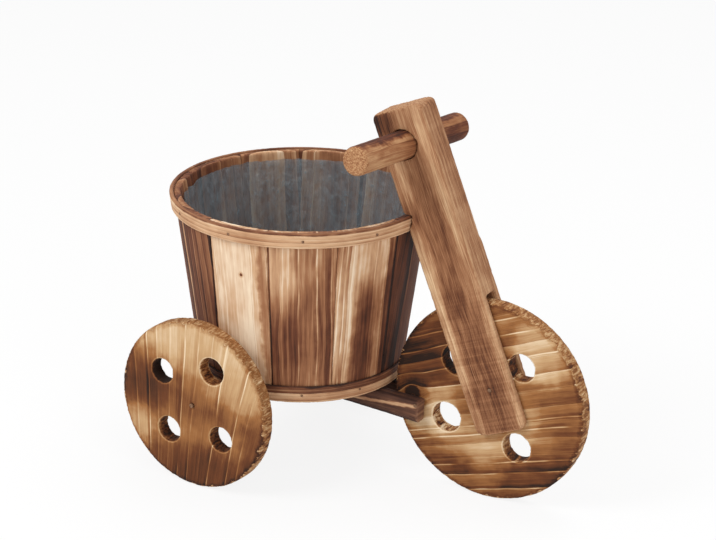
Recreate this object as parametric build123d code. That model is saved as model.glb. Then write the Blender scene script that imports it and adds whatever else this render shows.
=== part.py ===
from build123d import *

import os
from math import cos, radians, sin, tan

# A wooden tricycle that carries a round tub, made as a stand for plants.
# Lengths are millimetres and angles are degrees. +X is forward, to the front wheel,
# +Y is to the left and +Z is up. The origin is on the ground, under the middle of
# the whole stand. Right is the -Y side.

# Wheels: round planks with four hand-drilled holes each, at (forward, up, diameter)
# from the hub. The rear ones turn, each on its own nail.
front_wheel_d = 160.0
front_wheel_t = 13.3
front_holes = (
    (27.0, 33.5, 21.4),
    (25.6, -32.6, 22.6),
    (-34.8, -21.0, 23.2),
    (-27.5, 28.1, 24.0),
)
rear_wheel_d = 135.0
rear_wheel_t = 12.6
rear_holes = (
    (-28.6, 21.6, 19.2),
    (18.3, 32.4, 21.2),
    (26.4, -22.0, 19.6),
    (-22.6, -25.9, 19.8),
)
rim_chamfer = 0.8
wheelbase = 201.6  # hub to hub, along X
track = 214.0  # over the outer faces of the rear wheels, at their hubs
toe_out = 3.4  # the axle's ends aren't sawn square, so the rear wheels splay forward
wheel_play = 0.3  # between a rear wheel and the axle's end, and under its nail's head
turning_play = 0.05  # round the nail that a rear wheel turns on

# Fork post: one leaning timber, slotted from its lower end for the front wheel.
post_w = 44.5  # front to back
post_d = 25.2  # side to side
post_length = 260.0
post_lean = 22.2  # back from the vertical
post_lead = 6.7  # its middle passes this far ahead of the front hub
post_below_hub = 25.3  # its lower end, measured along the post
post_top_corner = 6.0
post_foot_corner = 8.0
post_edge = 1.0
slot_play = 0.1  # each side of the wheel
slot_gap = 0.7  # over the wheel's rim
wane_w = 3.6  # the bark edge left on the upper part of the left front corner
wane_start = 122.0  # above the hub, along the post

# Handlebar: a round bar, driven through a bore in the post.
handlebar_d = 22.5
handlebar_right = 80.5  # from the post's middle to the bar's right end
handlebar_left = 70.5
handlebar_up = 205.6  # above the hub, along the post
handlebar_back = 3.1  # behind the post's middle
handlebar_tilt = 5.25  # its left end is the lower one
handlebar_round = 2.5
bore_play = 0.1
housing_play = 0.3  # round the tub's rim, in the notch in the post's back

# Chassis: two rails flank the front wheel and butt on the rear axle.
rail_t = 11.0
rail_h = 18.0
rail_front = 53.5  # the rails' front ends, behind the front hub
rail_top = 70.6  # the height of their top edges at that end
rail_rise = 1.7  # they rise to the rear by this angle
rail_wane_front = (1.5, 3.6)  # bark edge along the lower outer corner: across, up
rail_wane_rear = (5.0, 11.0)
rail_wane_run = 62.0  # it widens over this length
axle_w = 20.0
axle_h = 15.0

# Tub: tapered staves round a two-board floor, with a wooden hoop at each end.
tub_base = 73.0
tub_height = 144.2
tub_base_r = 79.9
tub_top_r = 99.2
stave_t = 5.5
stave_count = 11
stave_gap = 0.5
first_joint = -107.8  # the first joint's angle at the base, from +X
# How far each joint's upper end leans off its lower end, in degrees, because no
# two staves taper alike.
joint_lean = (4.0, 0.8, -1.2, -2.6, 1.1, -0.9, 0.6, 1.4, -1.2, 0.5, -1.6)
top_hoop_h = 12.7
top_hoop_t = 3.6
hoop_rise = 0.7  # the top hoop stands this far above the staves
bottom_hoop_h = 14.6
bottom_hoop_t = 1.6
hoop_round = 1.2
hoop_play = 0.1
rim_bite = 7.4  # how far the rim is let into the post's back, at the rim's top
wheel_gap = 5.0  # the least gap between the tub's base and the front wheel
hoop_split = 0.8  # the gap between a hoop's two ends, at the back
floor_lift = 2.0
floor_t = 9.0
floor_play = 0.15
floor_gap = 0.6
film_t = 0.4
film_play = 0.3
film_drop = 5.0  # the film's edge, below the staves' top

# Nails and brads: (length, shank diameter, head diameter, head thickness).
wheel_nail = (44.0, 2.4, 3.4, 0.8)
fork_nail = (23.0, 1.8, 3.0, 0.8)
handlebar_nail = (20.0, 1.8, 3.0, 0.8)
rail_nail = (17.0, 1.8, 3.0, 0.8)
axle_nail = (46.0, 2.4, 4.5, 1.0)
tub_nail = (17.0, 1.8, 4.0, 0.8)
brad = (8.0, 1.2, 2.0, 0.5)
nail_play = 0.02
fork_nail_up = 9.9  # above the hub, along the post
fork_nail_lead = 1.7  # ahead of the post's middle
rail_nail_set = 3.0  # behind the rail's front end
rail_nail_drop = 3.4  # below its top
axle_nail_drop = 8.5  # below the axle's top

front_r = front_wheel_d / 2
rear_r = rear_wheel_d / 2


def stave_r(height):
    """The staves' outer radius, this high above their lower ends."""
    return tub_base_r + (tub_top_r - tub_base_r) * height / tub_height


# Places along X, from the sizes above. The tub stands as far back as its rim's notch in
# the post asks for, and clear of the front wheel at that wheel's own height.
rim_top = tub_base + tub_height + hoop_rise
rim_r = stave_r(rim_top - tub_base) + hoop_play + top_hoop_t
base_r = stave_r(front_r - tub_base) + hoop_play + bottom_hoop_t
lean_slope = tan(radians(post_lean))
post_back = (post_w / 2 - post_lead) / cos(radians(post_lean)) + (rim_top - front_r) * lean_slope
tub_back = max(post_back - rim_bite + rim_r, front_r + wheel_gap + base_r)
tub_reach = tub_back + rim_r
front_x = (max(tub_reach, wheelbase + rear_r) - front_r) / 2
rear_x = front_x - wheelbase
tub_x = front_x - tub_back
axle_x = rear_x + tan(radians(toe_out)) * (rear_wheel_t + wheel_nail[0] / 4)
rail_x = front_x - rail_front
reach = 4 * front_wheel_d  # longer than anything that is cut

front_hub = Pos(front_x, 0, front_r)
post_frame = front_hub * Rot(Y=-post_lean)
tub_frame = Pos(tub_x, 0, tub_base)
sides = {"right": -1, "left": 1}


def rear_hub(side):
    """The middle of a rear wheel's outer face, with Y along its nail."""
    return Pos(rear_x, side * track / 2, rear_r) * Rot(Z=side * toe_out)


def nail(size, play=0.0, open_top=0.0):
    """A nail along -Z from the top of its head, or with play the hole that it leaves."""
    length, shank_d, head_d, head_t = size
    shank_r = shank_d / 2 + play
    head_r = head_d / 2 + play
    tip = shank_d
    outline = Polyline(
        (0, open_top),
        (head_r, open_top),
        (head_r, -head_t - play),
        (shank_r, -head_t - play),
        (shank_r, -length + tip),
        (0, -length - 2 * play),
        close=True,
    )
    return revolve(Plane.XZ * make_face(outline), Axis.Z)


def nail_hole(size):
    return nail(size, nail_play, size[3])


def ring(inner_low, outer_low, inner_high, outer_high, low, high):
    """The half section of a tapered ring about Z."""
    return Plane.XZ * make_face(
        Polyline(
            (inner_low, low),
            (outer_low, low),
            (outer_high, high),
            (inner_high, high),
            close=True,
        )
    )


def wheel(diameter, thickness, holes):
    """A round plank about Y, with its middle at the origin."""
    disc = Rot(X=90) * Cylinder(diameter / 2, thickness)
    disc = chamfer(disc.edges().filter_by(GeomType.CIRCLE), rim_chamfer)
    for forward, up, hole_d in holes:
        disc -= Pos(forward, 0, up) * Rot(X=90) * Cylinder(hole_d / 2, 2 * thickness)
    return disc


def facing(side):
    """Turns +Z to the right or the left, for a nail driven in from there."""
    return Rot(X=-90 * side)


# Where each nail goes: the place of its head's top, with +Z outwards.
fork_nail_at = post_frame * Pos(post_lead + fork_nail_lead, -post_d / 2, fork_nail_up) * facing(-1)
handlebar_nail_at = post_frame * Pos(post_lead - post_w / 2, 0, handlebar_up) * Rot(Y=-90)
wheel_nail_at = {
    name: rear_hub(side) * Pos(0, side * (wheel_play + wheel_nail[3]), 0) * facing(side)
    for name, side in sides.items()
}


def rail_frame(side):
    """The middle of a rail's front end, with X along the rail."""
    middle = front_wheel_t / 2 + rail_t / 2
    return Pos(rail_x, side * middle, rail_top - rail_h / 2) * Rot(Y=rail_rise)


rail_nails_at = [
    rail_frame(side)
    * Pos(-rail_nail_set, side * rail_t / 2, rail_h / 2 - rail_nail_drop)
    * facing(side)
    for side in sides.values()
]
axle_nails_at = [
    Pos(axle_x - axle_w / 2, side * (front_wheel_t + rail_t) / 2, tub_base - axle_nail_drop)
    * Rot(Y=-90)
    for side in sides.values()
]
floor_top = tub_base + floor_lift + floor_t
tub_nails_at = [
    Pos(x, side * y, floor_top)
    for side in sides.values()
    for x, y in (
        (tub_x + tub_base_r / 2, (front_wheel_t + rail_t) / 2),
        ((tub_x + axle_x + axle_w / 2) / 2, (front_wheel_t + rail_t) / 2),
        (axle_x, tub_base_r / 2),
    )
]


def brads_round_tub(height, radius):
    """One brad in the middle of each stave, at this height above the tub's base."""
    pitch = 360 / stave_count
    return [
        tub_frame * Rot(Z=first_joint + pitch * (i + 0.5)) * Pos(radius, 0, height) * Rot(Y=90)
        for i in range(stave_count)
    ]


top_hoop_low = tub_height + hoop_rise - top_hoop_h
top_brads_at = brads_round_tub(
    top_hoop_low + top_hoop_h / 2,
    stave_r(top_hoop_low + top_hoop_h / 2) + hoop_play + top_hoop_t,
)
floor_brads_at = brads_round_tub(
    floor_lift + floor_t / 2,
    stave_r(floor_lift + floor_t / 2) + hoop_play + bottom_hoop_t,
)


def drilled(shape, size, places):
    """The shape, with a hole for each nail."""
    return shape - [place * nail_hole(size) for place in places]


def make_front_wheel():
    disc = front_hub * wheel(front_wheel_d, front_wheel_t, front_holes)
    disc = drilled(disc, fork_nail, [fork_nail_at])
    return drilled(disc, rail_nail, rail_nails_at)


def make_rear_wheel(side):
    disc = wheel(rear_wheel_d, rear_wheel_t, rear_holes)
    disc = rear_hub(side) * Pos(0, -side * rear_wheel_t / 2, 0) * disc
    turning = Cylinder(wheel_nail[1] / 2 + turning_play, 3 * rear_wheel_t)
    return disc - rear_hub(side) * facing(side) * turning


def make_post():
    """The timber is drawn from the side and given its depth, then slotted and bored."""
    outline = Pos(post_lead, post_length / 2 - post_below_hub) * Rectangle(post_w, post_length)
    outline = fillet(outline.vertices().group_by(Axis.Y)[-1], post_top_corner)
    outline = fillet(outline.vertices().group_by(Axis.Y)[0], post_foot_corner)
    timber = extrude(Plane.XZ * outline, post_d / 2, both=True)
    timber = chamfer(timber.faces().filter_by(Axis.Y).edges(), post_edge)
    slot_top = front_r + slot_gap
    slot = Pos(0, 0, slot_top - reach / 2) * Box(reach, front_wheel_t + 2 * slot_play, reach)
    corner = Pos(post_lead + post_w / 2, post_d / 2, wane_start + reach / 2)
    wane = corner * Rot(Z=45) * Box(wane_w, wane_w, reach)
    bore = handlebar_frame() * Rot(X=90) * Cylinder(handlebar_d / 2 + bore_play, reach)
    timber = post_frame * (timber - slot - wane) - bore - tub_housing()
    timber = drilled(timber, fork_nail, [fork_nail_at])
    return drilled(timber, handlebar_nail, [handlebar_nail_at])


def tub_housing():
    """The tub's rim with some play, which the post's back is notched for."""
    low = top_hoop_low - housing_play
    high = top_hoop_low + top_hoop_h + housing_play
    proud = hoop_play + top_hoop_t + housing_play
    section = ring(0, stave_r(low) + proud, 0, stave_r(high) + proud, low, high)
    return tub_frame * revolve(section, Axis.Z)


def handlebar_frame():
    """The bar's middle in the post, with Y along the bar."""
    return post_frame * Pos(post_lead - handlebar_back, 0, handlebar_up) * Rot(X=-handlebar_tilt)


def make_handlebar():
    length = handlebar_right + handlebar_left
    bar = Rot(X=90) * Cylinder(handlebar_d / 2, length)
    bar = fillet(bar.edges().filter_by(GeomType.CIRCLE), handlebar_round)
    bar = handlebar_frame() * Pos(0, (handlebar_left - handlebar_right) / 2, 0) * bar
    return drilled(bar, handlebar_nail, [handlebar_nail_at])


def rail_wane(side):
    """The bark edge that is missing from a rail's lower outer corner."""
    corner_y = side * rail_t / 2
    corner_z = -rail_h / 2

    def section(x, wane):
        across, up = wane
        corner = (x, corner_y, corner_z)
        on_side = (x, corner_y, corner_z + up)
        on_bottom = (x, corner_y - side * across, corner_z)
        return make_face(Polyline(corner, on_side, on_bottom, close=True))

    front = section(0, rail_wane_front)
    rear = section(-rail_wane_run, rail_wane_rear)
    end = section(-reach, rail_wane_rear)
    return loft([front, rear], ruled=True) + loft([rear, end], ruled=True)


def make_rail(side):
    rail = Pos(-reach / 2, 0, 0) * Box(reach, rail_t, rail_h) - rail_wane(side)
    behind_axle_face = Pos(axle_x + axle_w / 2 - reach, 0, 0) * Box(2 * reach, reach, reach)
    rail = rail_frame(side) * rail - behind_axle_face
    rail = drilled(rail, rail_nail, rail_nails_at)
    rail = drilled(rail, axle_nail, axle_nails_at)
    return drilled(rail, tub_nail, tub_nails_at)


def make_axle():
    """A batten whose ends are cut parallel to the wheels."""
    batten = Pos(axle_x, 0, tub_base - axle_h / 2) * Box(axle_w, track, axle_h)
    for name, side in sides.items():
        outside = side * (reach / 2 - rear_wheel_t - wheel_play)
        batten -= rear_hub(side) * Pos(0, outside, 0) * Box(reach, reach, reach)
        batten = drilled(batten, wheel_nail, [wheel_nail_at[name]])
    batten = drilled(batten, axle_nail, axle_nails_at)
    return drilled(batten, tub_nail, tub_nails_at)


def joint_plane(index, shift):
    """The plane of a stave joint, moved by shift across it."""
    low_angle = radians(first_joint + 360 / stave_count * index)
    high_angle = low_angle + radians(joint_lean[index % len(joint_lean)])
    low = Vector(tub_base_r * cos(low_angle), tub_base_r * sin(low_angle), 0)
    high = Vector(tub_top_r * cos(high_angle), tub_top_r * sin(high_angle), tub_height)
    middle = (low + high) / 2
    outwards = Vector(middle.X, middle.Y, 0).normalized()
    normal = (high - low).cross(outwards).normalized()
    return Plane(origin=low + normal * shift, x_dir=outwards, z_dir=normal)


def make_stave(index):
    """A sector of a tapered tube, cut at its two joints."""
    pitch = 360 / stave_count
    spare = pitch / 3
    inner_low = tub_base_r - stave_t
    inner_high = tub_top_r - stave_t
    section = ring(inner_low, tub_base_r, inner_high, tub_top_r, 0, tub_height)
    start = first_joint + pitch * index - spare
    blank = Rot(Z=start) * revolve(section, Axis.Z, pitch + 2 * spare)
    blank = split(blank, bisect_by=joint_plane(index, stave_gap / 2), keep=Keep.TOP)
    blank = split(blank, bisect_by=joint_plane(index + 1, -stave_gap / 2), keep=Keep.BOTTOM)
    stave = tub_frame * blank
    stave = drilled(stave, brad, [top_brads_at[index]])
    return drilled(stave, brad, [floor_brads_at[index]])


def make_hoop(low, height, thickness, brads_at):
    """A bent strip that follows the staves' taper, with its ends at the back."""
    high = low + height
    inner_low = stave_r(low) + hoop_play
    inner_high = stave_r(high) + hoop_play
    strip = ring(inner_low, inner_low + thickness, inner_high, inner_high + thickness, low, high)
    hoop = revolve(strip, Axis.Z)
    rims = hoop.edges().filter_by(GeomType.CIRCLE)
    outer_rims = rims.filter_by(lambda rim: rim.radius > stave_r(rim.center().Z) + thickness / 2)
    hoop = fillet(outer_rims, min(hoop_round, 0.4 * thickness))
    hoop -= Pos(-reach / 2, 0, low + height / 2) * Box(reach, hoop_split, 2 * height)
    return drilled(tub_frame * hoop, brad, brads_at)


def make_floor_board(front):
    """Half of the round floor, on the front or the rear side of its joint."""
    low = floor_lift
    high = floor_lift + floor_t
    disc = ring(
        0, stave_r(low) - stave_t - floor_play, 0, stave_r(high) - stave_t - floor_play, low, high
    )
    half = Pos(front * (reach + floor_gap) / 2, 0, 0) * Box(reach, reach, reach)
    board = tub_frame * (revolve(disc, Axis.Z) & half)
    board = drilled(board, tub_nail, tub_nails_at)
    return drilled(board, brad, floor_brads_at)


def make_liner():
    """The plastic film: a thin cup that stands on the floor and follows the staves."""
    low = floor_lift + floor_t + film_play
    high = tub_height - film_drop
    wall_low = stave_r(low) - stave_t - film_play
    wall_high = stave_r(high) - stave_t - film_play
    outline = Polyline(
        (0, low),
        (wall_low, low),
        (wall_high, high),
        (wall_high - film_t, high),
        (wall_low - film_t, low + film_t),
        (0, low + film_t),
        close=True,
    )
    return tub_frame * revolve(Plane.XZ * make_face(outline), Axis.Z)


def group(size, places):
    return Compound([place * nail(size) for place in places])


nodes = {
    "front_wheel": make_front_wheel(),
    "fork_post": make_post(),
    "handlebar": make_handlebar(),
    "fork_nail": fork_nail_at * nail(fork_nail),
    "handlebar_nail": handlebar_nail_at * nail(handlebar_nail),
    "rear_axle": make_axle(),
    "top_hoop": make_hoop(top_hoop_low, top_hoop_h, top_hoop_t, top_brads_at),
    "bottom_hoop": make_hoop(0, bottom_hoop_h, bottom_hoop_t, floor_brads_at),
    "floor_board_front": make_floor_board(1),
    "floor_board_rear": make_floor_board(-1),
    "liner": make_liner(),
    "rail_nails": group(rail_nail, rail_nails_at),
    "axle_nails": group(axle_nail, axle_nails_at),
    "tub_nails": group(tub_nail, tub_nails_at),
    "top_hoop_brads": group(brad, top_brads_at),
    "floor_brads": group(brad, floor_brads_at),
}
for name, side in sides.items():
    nodes[f"rear_wheel_{name}"] = make_rear_wheel(side)
    nodes[f"wheel_nail_{name}"] = wheel_nail_at[name] * nail(wheel_nail)
    nodes[f"chassis_rail_{name}"] = make_rail(side)
for index in range(stave_count):
    nodes[f"stave_{index + 1:02d}"] = make_stave(index)

os.makedirs("parts", exist_ok=True)
for name, shape in nodes.items():
    export_step(shape, f"parts/{name}.step")
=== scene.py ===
"""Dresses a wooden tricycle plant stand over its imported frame, as a Blender add-on.

Lengths in the settings are metres, and the shaders' own coordinates are millimetres,
measured in the frame of the timber that they are on.
"""

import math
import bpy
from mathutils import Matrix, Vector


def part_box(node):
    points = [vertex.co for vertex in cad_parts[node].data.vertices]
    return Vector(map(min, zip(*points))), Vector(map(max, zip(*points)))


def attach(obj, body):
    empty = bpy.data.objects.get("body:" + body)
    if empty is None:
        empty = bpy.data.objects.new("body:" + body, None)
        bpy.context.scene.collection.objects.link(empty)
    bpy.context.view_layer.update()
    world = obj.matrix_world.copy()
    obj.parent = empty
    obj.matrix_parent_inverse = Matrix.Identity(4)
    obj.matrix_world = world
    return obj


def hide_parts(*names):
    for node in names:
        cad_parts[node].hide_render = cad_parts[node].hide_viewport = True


bl_info = {
    "name": "Tricycle Plant Stand",
    "version": (1, 0, 0),
    "blender": (4, 5, 0),
    "location": "3D View > Sidebar > Plant Stand",
    "description": "Flame-browned softwood, bent hoops and a film liner for a tricycle plant stand",
    "category": "Object",
}

import bmesh
import bpy
import numpy as np
from bpy.props import FloatProperty, FloatVectorProperty, IntProperty, PointerProperty
from mathutils import Matrix, Vector, noise

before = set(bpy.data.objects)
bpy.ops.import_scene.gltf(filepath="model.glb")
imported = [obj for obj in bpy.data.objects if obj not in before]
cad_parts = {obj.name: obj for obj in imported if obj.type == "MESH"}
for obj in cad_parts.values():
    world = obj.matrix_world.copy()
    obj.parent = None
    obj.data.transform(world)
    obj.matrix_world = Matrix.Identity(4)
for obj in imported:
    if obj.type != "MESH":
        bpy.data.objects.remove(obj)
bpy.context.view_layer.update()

MM = 0.001

# Angles and lengths of the timbers, as they are built.
POST_LEAN = math.radians(22.2)
POST_LEAD = 6.7 * MM
POST_BELOW_HUB = 25.3 * MM
POST_LENGTH = 260 * MM
BAR_TILT = math.radians(5.25)
BAR_UP = 205.6 * MM
BAR_BACK = 3.1 * MM
BAR_RIGHT = 80.5  # from the post's middle to the bar's right end, in millimetres
RAIL_RISE = math.radians(1.7)
TOE_OUT = math.radians(3.4)
STAVE_COUNT = 11
TUB_BASE_R = 79.9
TUB_TOP_R = 99.2
TUB_HEIGHT = 144.2
STAVE_TAPER = math.atan2(TUB_TOP_R - TUB_BASE_R, TUB_HEIGHT)
FILM_SET_IN = 6.2 * MM  # the film's outside, inside the staves' outer face

# Where the camera aims: behind the front hub, and over the ground.
AIM_BEHIND = 118.437 * MM
AIM_HEIGHT = 160.453 * MM

# Name, place in metres, diameter in metres and power in watts.
LAMPS = (
    ("key", (-0.9, -1.5, 1.7), 1.1, 26.0),
    ("fill", (1.7, -1.1, 1.2), 1.3, 12.0),
    ("top", (0.2, 0.6, 2.0), 1.2, 12.0),
)
LAMP_AIM = Vector((0, 0, 0.12))

# The wheels' drilled holes: forward, up and radius from the hub, in millimetres.
FRONT_HOLES = ((27.0, 33.5, 10.7), (25.6, -32.6, 11.3), (-34.8, -21.0, 11.6), (-27.5, 28.1, 12.0))
REAR_HOLES = ((-28.6, 21.6, 9.6), (18.3, 32.4, 10.6), (26.4, -22.0, 9.8), (-22.6, -25.9, 9.9))


def linear(red, green, blue):
    """A screen colour, 0 to 255, as scene-linear red, green and blue."""
    values = []
    for channel in (red, green, blue):
        value = channel / 255
        values.append(value / 12.92 if value <= 0.04045 else ((value + 0.055) / 1.055) ** 2.4)
    return tuple(values)


def centre(node):
    low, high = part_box(node)
    return (low + high) / 2


def axes(x_axis, y_axis, origin):
    """The matrix of a local frame, from two of its axes and its origin."""
    x_axis = Vector(x_axis).normalized()
    z_axis = x_axis.cross(Vector(y_axis)).normalized()
    y_axis = z_axis.cross(x_axis)
    return Matrix.Translation(origin) @ Matrix((x_axis, y_axis, z_axis)).transposed().to_4x4()


# Local frames: X runs along the timber or forward, and Z comes out of the face that is seen.
front_hub = centre("front_wheel")
post_up = Vector((-math.sin(POST_LEAN), 0, math.cos(POST_LEAN)))
post_forward = Vector((math.cos(POST_LEAN), 0, math.sin(POST_LEAN)))
bar_middle = front_hub + post_forward * (POST_LEAD - BAR_BACK) + post_up * BAR_UP
bar_along = Vector((0, math.cos(BAR_TILT), 0)) - post_up * math.sin(BAR_TILT)
tub_foot = Vector((centre("bottom_hoop").x, centre("bottom_hoop").y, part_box("bottom_hoop")[0].z))

PLACES = {
    "front_wheel": axes((1, 0, 0), (0, 0, 1), front_hub),
    "rear_wheel_right": axes(
        (math.cos(TOE_OUT), -math.sin(TOE_OUT), 0), (0, 0, 1), centre("rear_wheel_right")
    ),
    "rear_wheel_left": axes(
        (-math.cos(TOE_OUT), -math.sin(TOE_OUT), 0), (0, 0, 1), centre("rear_wheel_left")
    ),
    "fork_post": axes(post_up, -post_forward, front_hub + post_forward * POST_LEAD),
    "handlebar": axes(-bar_along, post_up, bar_middle),
}
for side, sign in (("right", -1), ("left", 1)):
    along = (math.cos(RAIL_RISE), 0, -math.sin(RAIL_RISE))
    PLACES[f"chassis_rail_{side}"] = axes(along, (0, 0, -sign), centre(f"chassis_rail_{side}"))
STAVES = [f"stave_{number:02d}" for number in range(1, STAVE_COUNT + 1)]
for stave in STAVES:
    middle = centre(stave)
    out = Vector((middle.x - tub_foot.x, middle.y - tub_foot.y, 0)).normalized()
    up_stave = out * math.sin(STAVE_TAPER) + Vector((0, 0, math.cos(STAVE_TAPER)))
    across = Vector((0, 0, 1)).cross(out)
    PLACES[stave] = axes(up_stave, -across, Vector((middle.x, middle.y, tub_foot.z)))


class Value:
    """What a shader node gives, so that shader maths reads as Python expressions."""

    def __init__(self, graph, socket):
        self.graph = graph
        self.socket = socket

    def math(self, operation, *others):
        return self.graph.math(operation, self, *others)

    def __add__(self, other):
        return self.math("ADD", other)

    def __radd__(self, other):
        return self.graph.math("ADD", other, self)

    def __sub__(self, other):
        return self.math("SUBTRACT", other)

    def __rsub__(self, other):
        return self.graph.math("SUBTRACT", other, self)

    def __mul__(self, other):
        return self.math("MULTIPLY", other)

    def __rmul__(self, other):
        return self.graph.math("MULTIPLY", other, self)

    def __truediv__(self, other):
        return self.math("DIVIDE", other)

    def clamp(self):
        return self.graph.node("ShaderNodeClamp", {}, {"Value": self})

    def step(self, low, high):
        """0 below low and 1 above high, or the other way round, with a smooth change between."""
        rising = low < high
        settings = {"interpolation_type": "SMOOTHSTEP"}
        ends = {"From Min": min(low, high), "From Max": max(low, high)}
        values = {"To Min": 0.0 if rising else 1.0, "To Max": 1.0 if rising else 0.0}
        return self.graph.node("ShaderNodeMapRange", settings, {"Value": self, **ends, **values})


class Graph:
    """The nodes of a material or a world, which is their owner, built from expressions."""

    def __init__(self, name, owners=None):
        if owners is None:
            owners = bpy.data.materials
        self.owner = owners.new(name)
        self.owner.use_nodes = True
        self.tree = self.owner.node_tree
        self.tree.nodes.clear()

    def node(self, kind, settings, sockets, output=0):
        """Makes a node with its settings first, then its sockets' values and links."""
        node = self.tree.nodes.new(kind)
        for name, value in settings.items():
            if name == "stops":
                self.fill_ramp(node.color_ramp, value)
            else:
                setattr(node, name, value)
        for name, value in sockets.items():
            if isinstance(value, Value):
                self.tree.links.new(value.socket, node.inputs[name])
            else:
                node.inputs[name].default_value = value
        return Value(self, node.outputs[output])

    @staticmethod
    def fill_ramp(ramp, stops):
        while len(ramp.elements) < len(stops):
            ramp.elements.new(1.0)
        for element, (position, colour) in zip(ramp.elements, stops):
            element.position = position
            element.color = (*colour, 1.0)

    def math(self, operation, *values):
        sockets = dict(enumerate(values))
        return self.node("ShaderNodeMath", {"operation": operation}, sockets)

    def vector(self, x, y, z):
        return self.node("ShaderNodeCombineXYZ", {}, {"X": x, "Y": y, "Z": z})

    def split(self, vector):
        node = self.node("ShaderNodeSeparateXYZ", {}, {"Vector": vector}).socket.node
        return [Value(self, output) for output in node.outputs]

    def local(self, place):
        """Along, across and out of a timber's frame, in millimetres."""
        inverse = place.inverted()
        rotation = inverse.to_euler()
        coordinates = self.node("ShaderNodeTexCoord", {}, {}, "Object")
        sockets = {
            "Vector": coordinates,
            "Location": inverse.to_translation() / MM,
            "Rotation": rotation,
            "Scale": (1 / MM,) * 3,
        }
        return self.split(self.node("ShaderNodeMapping", {"vector_type": "POINT"}, sockets))

    def noise(self, x, y, z, detail=2.0, roughness=0.5):
        sockets = {"Vector": self.vector(x, y, z), "Scale": 1.0}
        sockets["Detail"] = detail
        sockets["Roughness"] = roughness
        return self.node("ShaderNodeTexNoise", {}, sockets)

    def random(self, number):
        """One random number from 0 to 1 for each whole number."""
        return self.node("ShaderNodeTexWhiteNoise", {"noise_dimensions": "1D"}, {"W": number})

    def ramp(self, factor, stops):
        return self.node("ShaderNodeValToRGB", {"stops": stops}, {"Fac": factor})

    def blend(self, factor, first, second):
        """The first colour where the factor is 0 and the second where it is 1."""
        node = self.tree.nodes.new("ShaderNodeMix")
        node.data_type = "RGBA"
        colour_inputs = [socket for socket in node.inputs if socket.type == "RGBA"]
        for socket, value in zip([node.inputs[0], *colour_inputs], (factor, first, second)):
            if isinstance(value, Value):
                self.tree.links.new(value.socket, socket)
            else:
                socket.default_value = (*value, 1.0)
        return Value(self, next(socket for socket in node.outputs if socket.type == "RGBA"))

    def finish(self, colour, roughness, height=None, relief=0.3 * MM, **constants):
        """Feeds a Principled shader and gives back its material."""
        sockets = {"Base Color": colour, "Roughness": roughness, **constants}
        if height is not None:
            bump = {"Strength": 1.0, "Distance": relief, "Height": height}
            sockets["Normal"] = self.node("ShaderNodeBump", {}, bump)
        shader = self.node("ShaderNodeBsdfPrincipled", {}, sockets)
        self.node_output(shader)
        return self.owner

    def node_output(self, shader, kind="ShaderNodeOutputMaterial"):
        output = self.tree.nodes.new(kind)
        self.tree.links.new(shader.socket, output.inputs["Surface"])


def browned(graph, along, across, out, look):
    """The tone of flame-browned softwood, 0 charred to 1 bare, and the height of its grain.

    look holds: pith, where the rings' middle lies across and out; ring, their spacing; tone,
    the mean; seed; knots; and how strong the bands, lines, fibres, streaks and burnt areas are.
    """
    seed = look["seed"]
    sway = graph.noise(along / 70 + seed, across / 28, out / 28)
    bent = across + (sway - 0.5) * look.get("sway", 9.0)
    knot_tone = 0.0
    for knot_along, knot_across, radius in look.get("knots", ()):
        from_along = along - knot_along
        from_across = across - knot_across
        gap = (from_along * from_along + from_across * from_across).math("SQRT")
        swell = gap.step(radius * 3.2, radius * 0.8)
        bent = bent - from_across / (gap + 1.0) * swell * radius * 0.9
        uneven = (graph.noise(along / 2.5, across / 2.5, seed) - 0.5) * radius * 0.5
        knot_tone = knot_tone - (gap + uneven).step(radius * 1.15, radius * 0.7) * 0.5
        knot_tone = knot_tone - (gap + uneven * 3).step(radius * 2.6, radius) * 0.14
    pith_across, pith_out = look.get("pith", (10.0, -30.0))
    from_across = bent - pith_across
    from_out = out - pith_out
    radius = (from_across * from_across + from_out * from_out).math("SQRT")
    rings = radius / look.get("ring", 6.0)
    number = rings.math("FLOOR") + seed
    position = rings.math("FRACT")
    own_tone = graph.random(number)
    pale_lines = 0.0
    for line_across, strength in look.get("pale_lines", ()):
        faded = graph.noise(along / 25, line_across / 3, seed, detail=1.0).step(0.25, 0.6)
        beside = (bent - line_across).math("ABSOLUTE").step(0.75, 0.2)
        shade = (bent - line_across - 1.6).math("ABSOLUTE").step(2.2, 0.6)
        pale_lines = pale_lines + beside * faded * strength - shade * faded * strength * 0.3
    line_width = 0.05
    line = (position - line_width).math("ABSOLUTE").step(line_width, line_width * 0.3)
    line_strength = graph.noise(along / 35, number, seed) * own_tone
    fibre = graph.noise(along / 16 + seed, bent / 0.55, out / 0.55, detail=3.0)
    streak = graph.noise(along / 55, bent / 2.2 + seed, out / 2.2, detail=3.0)
    cloud = graph.noise(along / 42, across / 26, out / 26 + seed, detail=3.0, roughness=0.6)
    tone = (
        look.get("tone", 0.5)
        + (own_tone - 0.5) * look.get("bands", 0.34)
        + (position - 0.5) * look.get("slope", 0.26)
        + line * line_strength * look.get("lines", 0.9)
        + (fibre - 0.5) * look.get("fibre", 0.35)
        + (streak - 0.5) * look.get("streak", 0.55)
        + (cloud - 0.5) * look.get("cloud", 0.9)
        + knot_tone
        + pale_lines
    )
    height = fibre * 0.35 + streak * 0.25 + line * 0.4
    return tone, height


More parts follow.
